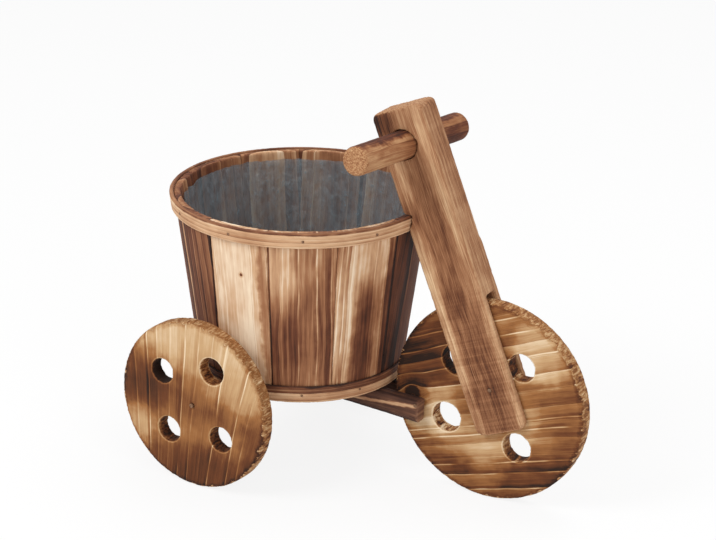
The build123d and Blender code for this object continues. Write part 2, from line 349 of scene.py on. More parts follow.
def patched(graph, tone, u, v, patches, seed=0.0, stray=14.0):
    """Adds the listed lighter and darker areas: (u, v, half width, half height, change)."""
    stray_u = (graph.noise(u / 9 + seed, v / 9, 0.0, detail=3.0) - 0.5) * stray
    stray_v = (graph.noise(u / 9, v / 9 + seed, 5.0, detail=3.0) - 0.5) * stray
    u = u + stray_u
    v = v + stray_v
    for middle_u, middle_v, half_u, half_v, change in patches:
        du = (u - middle_u) / half_u
        dv = (v - middle_v) / half_v
        tone = tone + (du * du + dv * dv).step(1.6, 0.0) * change
    return tone


def holes_field(u, v, holes):
    """How far a point is outside the edge of the nearest drilled hole."""
    nearest = None
    for hole_u, hole_v, radius in holes:
        du = u - hole_u
        dv = v - hole_v
        gap = (du * du + dv * dv).math("SQRT") - radius
        nearest = gap if nearest is None else nearest.math("MINIMUM", gap)
    return nearest


def palette(settings):
    """Ramp stops from charred to bare wood."""
    return (
        (0.0, settings.char_colour),
        (0.25, settings.dark_colour),
        (0.5, settings.mid_colour),
        (0.75, settings.pale_colour),
        (1.0, settings.bare_colour),
    )


def even_copy(node, place, facet):
    """The CAD node's shape with even faces, in the timber's own frame."""
    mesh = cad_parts[node].data.copy()
    welded = bmesh.new()
    welded.from_mesh(mesh)
    bmesh.ops.remove_doubles(welded, verts=welded.verts, dist=1e-6)
    welded.to_mesh(mesh)
    welded.free()
    mesh.transform(place.inverted())
    piece = bpy.data.objects.new(f"{node}_worn", mesh)
    bpy.context.scene.collection.objects.link(piece)
    remesh = piece.modifiers.new("Even faces", "REMESH")
    remesh.mode = "VOXEL"
    remesh.voxel_size = facet
    even = bpy.data.meshes.new_from_object(piece.evaluated_get(bpy.context.evaluated_depsgraph_get()))
    piece.modifiers.clear()
    piece.data = even
    even.materials.clear()
    return piece


def array_of(collection, attribute, width, kind=np.float64):
    values = np.empty(len(collection) * width, kind)
    collection.foreach_get(attribute, values)
    return values.reshape(-1, width) if width > 1 else values


def edge_wear(mesh, points, spread):
    """1 along the sharp edges of a mesh of even faces and 0 on its flats."""
    ends = array_of(mesh.edges, "vertices", 2, np.int32)
    first, second = ends.T
    count = len(points)
    degree = np.bincount(ends.ravel(), minlength=count).clip(1)

    def neighbours(values):
        total = np.bincount(first, values[second], count) + np.bincount(second, values[first], count)
        return total / degree

    middle = np.stack([neighbours(points[:, axis]) for axis in range(3)], axis=1)
    bend = np.linalg.norm(points - middle, axis=1)
    bend /= np.percentile(bend, 99.5) + 1e-9
    for _ in range(spread):
        bend = neighbours(bend)
    return (bend / (np.percentile(bend, 99) + 1e-9)).clip(0, 1)


def worn(node, body, facet, edge_loss, relief=None, seed=0.0, widen=1.0):
    """Makes the piece that stands for a CAD node, worn in from its surface.

    widen closes the play beside a stave, so that no light comes through the joint.
    """
    place = PLACES[node]
    piece = even_copy(node, place, facet)
    mesh = piece.data
    points = array_of(mesh.vertices, "co", 3)
    points[:, 1] *= widen
    normals = array_of(mesh.vertices, "normal", 3)
    edges = edge_wear(mesh, points, 3)
    loss = np.empty(len(points))
    shift = Vector((seed * 7.3, seed * 3.1, seed * 5.7))
    for index, (point, edge) in enumerate(zip(points, edges)):
        spot = Vector(point) / MM
        uneven = noise.noise(Vector((spot.x / 22, spot.y / 9, spot.z / 9)) + shift)
        chip = noise.noise(Vector((spot.x / 7, spot.y / 3, spot.z / 3)) + shift)
        loss[index] = 0.07 * MM * (1 + uneven) + edge * edge_loss * (0.35 + 0.9 * abs(chip))
        if relief is not None:
            loss[index] += relief(spot, Vector(normals[index])) * MM
    points -= normals * loss[:, None]
    mesh.vertices.foreach_set("co", points.ravel())
    mesh.transform(place)
    mesh.shade_smooth()
    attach(piece, body)
    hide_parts(node)
    return piece


def dress(piece, material):
    piece.data.materials.clear()
    piece.data.materials.append(material)


def dress_node(node, material):
    """Gives a CAD node that stays its material, with its mesh left alone."""
    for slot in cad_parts[node].material_slots:
        slot.material = material


def colour(name, description, default):
    return FloatVectorProperty(
        name=name, description=description, subtype="COLOR", size=3, min=0, max=1, default=default
    )


def length(name, description, default):
    return FloatProperty(
        name=name, description=description, unit="LENGTH", subtype="DISTANCE", min=0, default=default
    )


class WheelSettings(bpy.types.PropertyGroup):
    facet: length("Facet", "Size of the even faces that the wheels are cut into", 0.9 * MM)
    edge_loss: length("Edge loss", "How much the handling has taken off the corners", 0.7 * MM)
    saw_depth: FloatProperty(name="Saw depth", description="Depth of the torn rim, in mm", default=0.55)
    ring: FloatProperty(name="Ring spacing", description="Width of a growth ring, in mm", default=11.5)
    char_colour: colour("Char", "Charred wood", linear(38, 20, 10))
    dark_colour: colour("Dark", "Deeply browned wood", linear(104, 57, 27))
    mid_colour: colour("Middle", "Browned wood", linear(154, 102, 56))
    pale_colour: colour("Pale", "Lightly browned wood", linear(196, 158, 114))
    bare_colour: colour("Bare", "Bare softwood", linear(230, 206, 172))


class PostSettings(bpy.types.PropertyGroup):
    facet: length("Facet", "Size of the even faces that the post is cut into", 0.9 * MM)
    edge_loss: length("Edge loss", "How much the handling has taken off the corners", 0.8 * MM)
    char_colour: colour("Char", "Charred wood", linear(40, 20, 14))
    dark_colour: colour("Dark", "Deeply browned wood", linear(106, 62, 37))
    mid_colour: colour("Middle", "Browned wood", linear(156, 108, 74))
    pale_colour: colour("Pale", "Lightly browned wood", linear(194, 152, 114))
    bare_colour: colour("Bare", "Bare softwood", linear(228, 196, 156))


class HandlebarSettings(bpy.types.PropertyGroup):
    facet: length("Facet", "Size of the even faces that the bar is cut into", 0.8 * MM)
    edge_loss: length("Edge loss", "How much the handling has taken off the ends", 0.5 * MM)
    char_colour: colour("Char", "Charred wood", linear(34, 16, 10))
    dark_colour: colour("Dark", "Deeply browned wood", linear(92, 46, 26))
    mid_colour: colour("Middle", "Browned wood", linear(150, 98, 62))
    pale_colour: colour("Pale", "Lightly browned wood", linear(192, 148, 106))
    bare_colour: colour("Bare", "Bare softwood", linear(222, 190, 148))


# The rails' and the rear axle's colours are darker and greyer than the other timbers': their own
# browning, with painted shade from the tub above them.
class ChassisSettings(bpy.types.PropertyGroup):
    facet: length("Facet", "Size of the even faces that the rails are cut into", 0.8 * MM)
    edge_loss: length("Edge loss", "How much the handling has taken off the corners", 0.7 * MM)
    char_colour: colour("Char", "Charred wood", linear(26, 14, 10))
    dark_colour: colour("Dark", "Deeply browned wood", linear(58, 35, 28))
    mid_colour: colour("Middle", "Browned wood", linear(102, 67, 50))
    pale_colour: colour("Pale", "Lightly browned wood", linear(176, 130, 96))
    bare_colour: colour("Bare", "Bare softwood", linear(214, 180, 142))


class TubSettings(bpy.types.PropertyGroup):
    facet: length("Facet", "Size of the even faces that the staves are cut into", 1.0 * MM)
    edge_loss: length("Edge loss", "How much the staves' corners are rounded", 0.4 * MM)
    widen: FloatProperty(name="Widen", description="Closes the joints' play", default=1.02)
    char_colour: colour("Char", "Charred wood", linear(40, 20, 12))
    dark_colour: colour("Dark", "Deeply browned wood", linear(102, 56, 34))
    mid_colour: colour("Middle", "Browned wood", linear(154, 104, 70))
    pale_colour: colour("Pale", "Lightly browned wood", linear(202, 160, 122))
    bare_colour: colour("Bare", "Bare softwood", linear(236, 214, 186))


class HoopSettings(bpy.types.PropertyGroup):
    facet: length("Facet", "Size of the even faces that the hoops are cut into", 0.7 * MM)
    edge_loss: length("Edge loss", "How much the hoops' edges are rounded", 0.3 * MM)
    char_colour: colour("Char", "Charred wood", linear(48, 24, 14))
    dark_colour: colour("Dark", "Deeply browned wood", linear(112, 66, 42))
    mid_colour: colour("Middle", "Browned wood", linear(170, 122, 86))
    pale_colour: colour("Pale", "Lightly browned wood", linear(208, 166, 128))
    bare_colour: colour("Bare", "Bare softwood", linear(232, 202, 166))


class LinerSettings(bpy.types.PropertyGroup):
    crinkle: length("Crinkle", "How far the film stands off the staves in its folds", 4.5 * MM)
    edge_wave: length("Edge wave", "How much the film's edge rises and falls", 2.2 * MM)
    turns: IntProperty(name="Points round", description="Points round the film", default=360)
    film_colour: colour("Film", "Clear film over dark wood", linear(150, 168, 176))


class FixingSettings(bpy.types.PropertyGroup):
    steel_colour: colour("Steel", "Nail steel", linear(140, 108, 82))
    rust_colour: colour("Rust", "Weathered nail steel", linear(104, 70, 48))


class StageSettings(bpy.types.PropertyGroup):
    azimuth: FloatProperty(name="Azimuth", description="Camera's turn", default=29.641)
    elevation: FloatProperty(name="Elevation", description="Camera's height angle", default=21.153)
    roll: FloatProperty(name="Roll", description="Camera's roll", default=0.871)
    distance: length("Distance", "From the camera to its aim", 1.858268)
    lens: FloatProperty(name="Lens", description="Focal length over the image's width", default=3.36968)
    floor_colour: colour("Floor", "Pale floor", (0.86, 0.86, 0.86))


class StandSettings(bpy.types.PropertyGroup):
    wheels: PointerProperty(type=WheelSettings)
    post: PointerProperty(type=PostSettings)
    handlebar: PointerProperty(type=HandlebarSettings)
    chassis: PointerProperty(type=ChassisSettings)
    tub: PointerProperty(type=TubSettings)
    hoops: PointerProperty(type=HoopSettings)
    liner: PointerProperty(type=LinerSettings)
    fixings: PointerProperty(type=FixingSettings)
    stage: PointerProperty(type=StageSettings)


def wheel_wood(name, node, settings, radius, holes, grain, look, patches):
    """A sawn plank's face, its torn rim, and the walls of its holes, browned and darkened near-black
    with painted shade.
    """
    graph = Graph(name)
    forward, up, out = graph.local(PLACES[node])
    along = forward * math.cos(grain) + up * math.sin(grain)
    across = up * math.cos(grain) - forward * math.sin(grain)
    across = across - along * across * look["fan"]
    tone, height = browned(graph, along, across, out, look)
    tone = patched(graph, tone, forward, up, patches, look["seed"])
    from_hub = (forward * forward + up * up).math("SQRT")
    rough = graph.noise(forward / 1.5, up / 1.5, out / 6.5, detail=4.0, roughness=0.7)
    wander = graph.noise(forward / 5, up / 5, out / 9, detail=3.0)
    edge_line = from_hub + (rough - 0.5) * 3.6 + (wander - 0.5) * 7.0
    rim = edge_line.step(radius - 1.6, radius - 0.6)
    splinter = graph.noise(forward / 0.7, up / 0.7, out / 4.0, detail=3.0) - 0.5
    torn = 0.5 + (rough - 0.5) * 1.4 + (wander - 0.5) * 1.1 + splinter * 0.6
    tone = tone * (1 - rim) + torn * rim
    scorch = edge_line.step(radius - 5.0, radius - 1.5) * (1 - rim)
    tone = tone - scorch * 0.16
    gap = holes_field(forward, up, holes) + (rough - 0.5) * 1.2
    wall = gap.step(0.35, -0.1)
    lip = gap.step(1.9, 0.9) * (1 - wall)
    tone = tone + lip * 0.2
    charred = gap.step(0.75, 0.3)
    tone = tone - charred * 0.35
    # The holes' walls go near-black: their browning, darkened further with painted shade inside the
    # holes.
    wall_tone_with_painted_shade = (rough - 0.5) * 0.3 + (wander - 0.5) * 0.3 - 0.03
    tone = tone * (1 - wall) + wall_tone_with_painted_shade * wall
    height = height + rough * (0.2 + rim * 1.6 + wall * 0.5)
    colours = graph.ramp(tone, palette(settings))
    roughness = 0.86 - tone.clamp() * 0.12
    return graph.finish(colours, roughness, height, 0.35 * MM, **{"Specular IOR Level": 0.3})


def rim_relief(radius, holes, depth, seed):
    """The torn rim and the hand-drilled holes' ragged lips."""

    def relief(spot, normal):
        from_hub = math.hypot(spot.x, spot.y)
        lost = 0.0
        if from_hub > radius - 2.5 and abs(normal.z) < 0.8:
            angle = math.atan2(spot.y, spot.x) * radius
            tear = noise.noise(Vector((angle / 2.6, spot.z / 6, seed)))
            tear += 0.6 * noise.noise(Vector((angle / 1.1, spot.z / 3, seed)))
            facet = noise.noise(Vector((angle / 14, spot.z / 40, seed + 9)))
            lost += depth * (0.3 * abs(tear) + 0.35 * (facet + 0.6))
        for hole_u, hole_v, hole_r in holes:
            gap = math.hypot(spot.x - hole_u, spot.y - hole_v) - hole_r
            if gap < 2.0:
                fray = noise.noise(Vector((spot.x / 2.2, spot.y / 2.2, spot.z / 4 + seed)))
                lost += 0.3 * depth * abs(fray) * (1 - max(gap, 0) / 2)
        return lost

    return relief


class STAND_OT_wheels(bpy.types.Operator):
    """Makes the three plank wheels, with their torn rims and holes whose browned walls are darkened
    with painted shade
    """

    bl_idname = "stand.wheels"
    bl_label = "Wheels"

    def execute(self, context):
        settings = context.scene.plant_stand.wheels
        radius = (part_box("front_wheel")[1].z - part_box("front_wheel")[0].z) / 2 / MM
        front = worn(
            "front_wheel", "stand", settings.facet, settings.edge_loss,
            rim_relief(radius, FRONT_HOLES, settings.saw_depth, 1.0), seed=1.0,
        )
        look = {
            "seed": 3.0, "pith": (-150.0, -40.0), "ring": settings.ring, "tone": 0.42, "fan": 0.001,
            "sway": 5.0, "knots": ((-63.7, 14.5, 7.0),), "cloud": 0.5, "fibre": 0.24,
            "streak": 0.3, "slope": 0.2, "bands": 0.16, "lines": 0.3,
            "pale_lines": (
                (-25.0, 0.45), (-49.0, 0.5), (-17.6, 0.35), (30.0, 0.5), (48.5, 0.45), (16.0, 0.3),
                (-71.0, 0.4), (-58.0, 0.35), (60.0, 0.35), (4.0, 0.15),
            ),
        }
        patches = (
            (44, 52, 24, 30, 0.4), (58, 0, 24, 24, -0.06), (-62, 20, 34, 24, -0.28),
            (-50, -24, 26, 14, 0.22), (-8, -38, 36, 18, 0.26), (40, -60, 50, 20, -0.2),
            (-34, -60, 30, 16, -0.16), (-40, -14, 14, 24, 0.2), (30, -8, 14, 26, 0.14),
            (18, 62, 16, 14, 0.12), (-44, 52, 26, 16, -0.1), (-20, -68, 30, 8, 0.1),
            (68, -30, 14, 20, -0.12), (0, -60, 16, 12, 0.16),
        )
        dress(front, wheel_wood(
            "front_wheel_wood", "front_wheel", settings, radius, FRONT_HOLES,
            math.radians(19), look, patches,
        ))
        rear_radius = (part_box("rear_wheel_right")[1].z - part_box("rear_wheel_right")[0].z) / 2 / MM
        patches = (
            (-16, 62, 74, 34, 0.3), (44, 26, 32, 30, 0.22), (-52, 12, 34, 30, -0.26),
            (-14, 4, 50, 22, -0.16), (10, -56, 70, 26, -0.3), (10, 18, 22, 18, 0.1),
            (62, -22, 18, 36, -0.26), (-52, -28, 16, 18, 0.16), (34, -4, 22, 12, -0.1),
        )
        for number, side in enumerate(("right", "left")):
            node = f"rear_wheel_{side}"
            rear = worn(
                node, f"wheel_{side}", settings.facet, settings.edge_loss,
                rim_relief(rear_radius, REAR_HOLES, settings.saw_depth, 5.0 + number), 2.0 + number,
            )
            look = {
                "seed": 11.0 + number, "pith": (120.0, -40.0), "ring": settings.ring * 1.1,
                "tone": 0.5, "fan": 0.003, "sway": 4.0, "cloud": 0.35, "fibre": 0.22,
                "streak": 0.16, "slope": 0.06, "bands": 0.05, "lines": 0.1,
                "pale_lines": (
                    (42.0, 0.34), (33.0, 0.16), (10.0, 0.4), (-1.0, 0.22), (-23.0, 0.4), (-42.0, 0.36),
                    (-52.0, 0.2), (54.0, 0.2), (22.0, 0.14), (-12.0, 0.12),
                ),
            }
            dress(rear, wheel_wood(
                f"{node}_wood", node, settings, rear_radius, REAR_HOLES,
                math.radians(84), look, patches,
            ))
        return {"FINISHED"}


class STAND_OT_post(bpy.types.Operator):
    """Makes the leaning fork post"""

    bl_idname = "stand.post"
    bl_label = "Fork Post"

    def execute(self, context):
        settings = context.scene.plant_stand.post
        top = (POST_LENGTH - POST_BELOW_HUB) / MM
        foot = -POST_BELOW_HUB / MM

        def relief(spot, normal):
            end = max(0.0, 1 - min(top - spot.x, spot.x - foot) / 3)
            pits = abs(noise.noise(Vector((spot.x / 4, spot.y / 2.4, spot.z / 2.4))))
            return end * 1.3 * pits

        post = worn(
            "fork_post", "stand", settings.facet, settings.edge_loss, relief, seed=4.0
        )
        graph = Graph("fork_post_wood")
        along, across, out = graph.local(PLACES["fork_post"])
        look = {
            "seed": 21.0, "pith": (-6.0, -30.0), "ring": 4.0, "tone": 0.4, "lines": 0.3,
            "bands": 0.16, "cloud": 0.5, "fibre": 0.75, "streak": 0.4, "slope": 0.12, "sway": 5.0,
        }
        tone, height = browned(graph, along, across, out, look)
        patches = (
            (50, 20, 110, 7, 0.3), (30, -21, 110, 4, 0.24), (88, 4, 20, 12, -0.12),
            (185, 16, 30, 10, 0.22), (20, -2, 80, 14, -0.12), (156, 16, 16, 6, -0.16),
            (130, -4, 50, 10, -0.08), (222, -8, 18, 16, 0.14), (112, 17, 36, 9, 0.22),
            (226, 14, 12, 12, -0.24), (180, -17, 70, 6, 0.2), (6, 14, 10, 6, -0.14),
        )
        tone = patched(graph, tone, along, across, patches, 2.0, stray=4.0)
        sawn = graph.noise(along / 1.7, across / 40, out / 40) - 0.5
        tone = tone + sawn * 0.28 * along.step(110.0, 50.0)
        rough = graph.noise(along / 1.6, across / 1.2, out / 1.2, detail=4.0, roughness=0.65)
        end = (along + (rough - 0.5) * 3).step(top - 2.5, top - 1.0)
        foot_end = (along + (rough - 0.5) * 3).step(foot + 2.5, foot + 1.0)
        ends = end.math("MAXIMUM", foot_end)
        tone = tone * (1 - ends) + (0.6 + (rough - 0.5) * 1.2) * ends
        height = height + rough * (0.2 + ends * 1.0)
        colours = graph.ramp(tone, palette(settings))
        dress(post, graph.finish(colours, 0.8, height, 0.35 * MM, **{"Specular IOR Level": 0.3}))
        return {"FINISHED"}


class STAND_OT_handlebar(bpy.types.Operator):
    """Makes the round handlebar"""

    bl_idname = "stand.handlebar"
    bl_label = "Handlebar"

    def execute(self, context):
        settings = context.scene.plant_stand.handlebar
        bar = worn(
            "handlebar", "stand", settings.facet, settings.edge_loss, seed=6.0
        )
        graph = Graph("handlebar_wood")
        along, across, out = graph.local(PLACES["handlebar"])
        look = {
            "seed": 31.0, "pith": (14.0, 9.0), "ring": 3.2, "tone": 0.5, "lines": 0.15,
            "bands": 0.1, "cloud": 0.6, "fibre": 0.4, "streak": 0.6, "slope": 0.1,
        }
        tone, height = browned(graph, along, across, out, look)
        patches = ((20, 12, 110, 6, -0.4), (-54, -8, 30, 14, -0.2), (55, -8, 30, 8, 0.12))
        tone = patched(graph, tone, along, across, patches, 4.0)
        rough = graph.noise(along / 1.4, across / 0.9, out / 0.9, detail=4.0, roughness=0.65)
        end = (along + (rough - 0.5) * 1.4).step(BAR_RIGHT - 1.8, BAR_RIGHT - 0.9)
        tone = tone * (1 - end) + (0.6 + (rough - 0.5) * 1.4) * end
        height = height + rough * (0.2 + end)
        colours = graph.ramp(tone, palette(settings))
        dress(bar, graph.finish(colours, 0.8, height, 0.3 * MM, **{"Specular IOR Level": 0.3}))
        return {"FINISHED"}


class STAND_OT_chassis(bpy.types.Operator):
    """Makes the two rails and finishes the rear axle"""

    bl_idname = "stand.chassis"
    bl_label = "Chassis"

    def execute(self, context):
        settings = context.scene.plant_stand.chassis
        for number, side in enumerate(("right", "left")):
            node = f"chassis_rail_{side}"
            rail = worn(
                node, "stand", settings.facet, settings.edge_loss, seed=8.0 + number
            )
            low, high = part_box(node)
            front = (high.x - low.x) / 2 / MM
            dress(rail, self.batten(f"{node}_wood", PLACES[node], settings, 41.0 + number, front))
        low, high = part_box("rear_axle")
        place = axes((0, 1, 0), (0, 0, 1), (low + high) / 2)
        half = (high.y - low.y) / 2 / MM
        dress_node("rear_axle", self.batten("rear_axle_wood", place, settings, 47.0, half))
        return {"FINISHED"}

    def batten(self, name, place, settings, seed, end):
        graph = Graph(name)
        along, across, out = graph.local(place)
        # The low tone, with the dark chassis palette, is the timber's browning plus painted shade from
        # the tub.
        look = {
            "seed": seed, "pith": (3.0, -29.0), "ring": 4.4, "tone": 0.38, "lines": 0.1,
            "bands": 0.1, "cloud": 0.7, "fibre": 0.35, "streak": 0.5, "slope": 0.1,
        }
        tone, height = browned(graph, along, across, out, look)
        stray = (graph.noise(along / 6, across / 4, seed) - 0.5) * 2.0
        ridge_height = 5.4 - (end - along) * 0.12
        ridge = (across - ridge_height + stray).math("ABSOLUTE").step(2.2, 0.6)
        tone = tone + ridge * 0.42 * out.step(-1.0, 1.0)
        tone = tone - across.step(-7.0, -8.6) * 0.3
        sawn_end = (along + stray).step(end - 3.5, end - 1.0)
        tone = tone * (1 - sawn_end) + (0.55 + stray * 0.3) * sawn_end
        colours = graph.ramp(tone, palette(settings))
        return graph.finish(colours, 0.8, height, 0.3 * MM, **{"Specular IOR Level": 0.3})


# How each stave was browned: its rings and knots, and its listed areas. Across is
# positive towards the stave's left edge, seen from outside.
STAVE_LOOKS = {
    "stave_01": {
        "tone": 0.86, "cloud": 0.5, "bands": 0.16, "streak": 0.3, "knots": ((105.0, -2.0, 1.3),),
        "pale_lines": ((14.0, 0.1), (4.0, 0.08)),
    },
    "stave_02": {
        "tone": 0.44, "cloud": 0.4, "bands": 0.1, "lines": 0.2,
        "pale_lines": ((4.6, 0.3), (-9.3, 0.34), (-20.0, 0.25), (16.0, 0.1), (12.0, 0.1)),
    },
    "stave_03": {
        "tone": 0.56, "bands": 0.22, "ring": 4.4, "lines": 0.3, "cloud": 0.7,
        "pale_lines": ((21.0, 0.25), (16.5, 0.3), (11.0, 0.2), (-8.0, 0.15), (-17.0, 0.12)),
    },
    "stave_04": {"tone": 0.2, "cloud": 0.4, "lines": 0.3},
    "stave_05": {"tone": 0.42},
    "stave_06": {"tone": 0.52},
    "stave_07": {"tone": 0.46},
    "stave_08": {"tone": 0.56},
    "stave_09": {"tone": 0.4},
    "stave_10": {"tone": 0.36},
    "stave_11": {
        "tone": 0.36, "cloud": 0.3,
        "pale_lines": ((-18.0, 0.2), (-11.0, 0.25), (-4.0, 0.2), (6.0, 0.2)),
    },
}
STAVE_PATCHES = {
    "stave_01": ((70, 4, 80, 14, 0.08), (70, -20, 100, 5, -0.42), (16, 18, 40, 8, -0.3)),
    "stave_02": (
        (118, 14, 44, 16, 0.3), (30, 14, 60, 14, -0.2), (122, 2, 18, 8, -0.16),
        (60, -15, 120, 6, -0.2), (128, -8, 24, 12, 0.16), (16, 0, 20, 20, 0.1),
    ),
    "stave_03": (
        (70, 18, 120, 10, 0.22), (30, -2, 80, 10, -0.26), (60, -22, 90, 5, -0.2),
        (124, -8, 34, 16, 0.24), (100, 6, 40, 8, 0.12),
    ),
    "stave_05": ((100, 0, 40, 20, 0.2), (20, 0, 30, 24, -0.2)),
    "stave_06": ((40, 8, 40, 12, 0.16),),
    "stave_07": ((110, -8, 36, 10, 0.22), (30, 6, 30, 16, -0.16)),
    "stave_08": ((60, 0, 30, 16, -0.18),),
    "stave_09": ((90, 8, 50, 8, 0.24),),
    "stave_10": ((40, -6, 40, 10, 0.2),),
}


class STAND_OT_tub(bpy.types.Operator):
    """Makes the staves and finishes the floor boards"""

    bl_idname = "stand.tub"
    bl_label = "Tub"

    def execute(self, context):
        settings = context.scene.plant_stand.tub
        for number, stave in enumerate(STAVES):
            piece = worn(
                stave, "stand", settings.facet, settings.edge_loss,
                seed=10.0 + number, widen=settings.widen,
            )
            look = {
                "seed": 51.0 + number, "pith": (4.0 - number % 5 * 3, -34.0), "ring": 5.2,
                "lines": 0.6, "bands": 0.24, "fibre": 0.28, "streak": 0.5, "cloud": 0.6,
                "sway": 5.0, "half": self.half_width(piece), **STAVE_LOOKS[stave],
            }
            patches = STAVE_PATCHES.get(stave, ())
            dress(piece, self.board(f"{stave}_wood", PLACES[stave], settings, look, patches))
        for number, node in enumerate(("floor_board_front", "floor_board_rear")):
            place = axes((0, 1, 0), (1, 0, 0), centre(node))
            look = {"pith": (5.0, 20.0), "ring": 5.0, "tone": 0.55, "seed": 71.0 + number}
            dress_node(node, self.board(f"{node}_wood", place, settings, look, ()))
        return {"FINISHED"}

    def half_width(self, piece):
        """Half the stave's width at its foot and at its top, in millimetres."""
        foot_band = 4
        top_band = 138
        inverse = PLACES[piece.name.removesuffix("_worn")].inverted()
        points = [(inverse @ vertex.co) / MM for vertex in piece.data.vertices]
        foot = max(abs(point.y) for point in points if point.x < foot_band)
        top = max(abs(point.y) for point in points if point.x > top_band)
        return foot, top

    def board(self, name, place, settings, look, patches):
        graph = Graph(name)
        along, across, out = graph.local(place)
        tone, height = browned(graph, along, across, out, look)
        if patches:
            tone = patched(graph, tone, along, across, patches, look["seed"], stray=6.0)
        if "half" in look:
            half_low, half_high = look["half"]
            half = half_low + (half_high - half_low) * along / TUB_HEIGHT
            edge = (across.math("ABSOLUTE") - half).step(-1.6, -0.3)
            tone = tone - edge * 0.45
        colours = graph.ramp(tone, palette(settings))
        return graph.finish(colours, 0.78, height, 0.3 * MM, **{"Specular IOR Level": 0.3})


class STAND_OT_hoops(bpy.types.Operator):
    """Makes the two bent hoops"""

    bl_idname = "stand.hoops"
    bl_label = "Hoops"

    def execute(self, context):
        settings = context.scene.plant_stand.hoops
        for number, node in enumerate(("top_hoop", "bottom_hoop")):
            low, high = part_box(node)
            PLACES[node] = Matrix.Translation((tub_foot.x, tub_foot.y, low.z))
            piece = worn(node, "stand", settings.facet, settings.edge_loss, seed=30.0 + number)
            radius = (high.x - low.x) / 2 / MM
            graph = Graph(f"{node}_wood")
            x, y, up = graph.local(PLACES[node])
            round_hoop = graph.math("ARCTAN2", y, x) * radius
            out = (x * x + y * y).math("SQRT") - radius
            look = {
                "seed": 81.0 + number, "pith": (-20.0, -3.0), "ring": 3.1, "tone": 0.68 - number * 0.08,
                "lines": 0.3, "bands": 0.2, "cloud": 0.7, "fibre": 0.3, "streak": 0.5, "sway": 3.0,
            }
            tone, height = browned(graph, round_hoop, up, out, look)
            hoop_height = (high.z - low.z) / MM
            burnt = (up + (graph.noise(round_hoop / 9, up / 3, 0.0) - 0.5) * 3)
            tone = tone - burnt.step(hoop_height - 2.4, hoop_height - 0.6) * 0.3
            tone = tone - burnt.step(hoop_height * 0.45, hoop_height * 0.6) * 0.34 * number
            colours = graph.ramp(tone, palette(settings))
            dress(piece, graph.finish(colours, 0.74, height, 0.3 * MM, **{"Specular IOR Level": 0.3}))
        return {"FINISHED"}


class STAND_OT_liner(bpy.types.Operator):
    """Makes the crinkled film that lines the tub"""

    bl_idname = "stand.liner"
    bl_label = "Liner"

    def execute(self, context):
        settings = context.scene.plant_stand.liner
        low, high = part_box("liner")
        foot_r = TUB_BASE_R * MM + (low.z - tub_foot.z) * math.tan(STAVE_TAPER) - FILM_SET_IN
        wall = high.z - low.z
        levels = 60
        turns = settings.turns // 1
        sheet = bmesh.new()
        rows = []
        for level in range(levels + 1):
            rise = level / levels
            row = []
            for turn in range(turns):
                angle = 2 * math.pi * turn / turns
                row.append(sheet.verts.new(self.point(angle, rise, foot_r, low.z, wall, settings)))
            rows.append(row)
        floor_rows = 12
        for ring in range(1, floor_rows):
            share = 1 - ring / floor_rows
            row = [
                sheet.verts.new((tub_foot.x + (v.co.x - tub_foot.x) * share,
                                 tub_foot.y + (v.co.y - tub_foot.y) * share,
                                 low.z + 0.3 * MM * (1 + noise.noise(v.co * share * 60))))
                for v in rows[0]
            ]
            rows.append(row)
        order = [*rows[:levels + 1][::-1], *rows[levels + 1:]]
        for upper, lower in zip(order, order[1:]):
            for turn in range(turns):
                after = (turn + 1) % turns
                sheet.faces.new((upper[turn], upper[after], lower[after], lower[turn]))
        sheet.faces.new(order[-1])
        mesh = bpy.data.meshes.new("liner_film")
        sheet.to_mesh(mesh)
        sheet.free()
        film = bpy.data.objects.new("liner_film", mesh)
        context.scene.collection.objects.link(film)
        mesh.shade_smooth()
        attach(film, "stand")
        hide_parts("liner")
        dress(film, self.film_material(settings))
        return {"FINISHED"}

    def point(self, angle, rise, foot_r, foot_z, wall, settings):
        """A point of the film: it stands off the staves in creases that grow upwards."""
        around = Vector((math.cos(angle), math.sin(angle), 0))
        crease = abs(noise.noise(around * 7 + Vector((0, 0, rise * 1.5))))
        small = abs(noise.noise(around * 17 + Vector((3, 5, rise * 5))))
        stand_off = settings.crinkle * (0.25 + 0.75 * rise) * (0.8 * crease + 0.5 * small)
        edge = settings.edge_wave * noise.noise(around * 5 + Vector((9, 0, 0))) * rise
        up = foot_z + wall * rise - (settings.edge_wave * rise - edge) / 2 * rise
        radius = foot_r + (up - foot_z) * math.tan(STAVE_TAPER) - stand_off
        return (tub_foot.x + around.x * radius, tub_foot.y + around.y * radius, up)

    def film_material(self, settings):
        graph = Graph("liner_film")
        x, y, up = graph.local(Matrix.Translation(tub_foot))
        crumple = graph.noise(x / 5, y / 5, up / 7, detail=3.0)
        alpha = 0.5 + (crumple - 0.5) * 0.3
        colours = graph.blend(crumple, linear(96, 110, 118), settings.film_colour)
        return graph.finish(
            colours, 0.22, crumple, 1.2 * MM, **{"Alpha": alpha.clamp(), "Specular IOR Level": 0.6}
        )


class STAND_OT_fixings(bpy.types.Operator):
    """Finishes the nails and brads"""

    bl_idname = "stand.fixings"
    bl_label = "Nails"

    def execute(self, context):
        settings = context.scene.plant_stand.fixings
        graph = Graph("nail_steel")
        x, y, z = graph.local(Matrix.Identity(4))
        bloom = graph.noise(x / 0.9, y / 0.9, z / 0.9, detail=3.0)
        colours = graph.blend(bloom.step(0.4, 0.62), settings.steel_colour, settings.rust_colour)
        roughness = 0.35 + bloom * 0.3
        material = graph.finish(colours, roughness, bloom, 0.08 * MM, Metallic=0.5)
        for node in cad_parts:
            if node.endswith(("nail", "nails", "brads")) or node.startswith("wheel_nail"):
                dress_node(node, material)
        return {"FINISHED"}


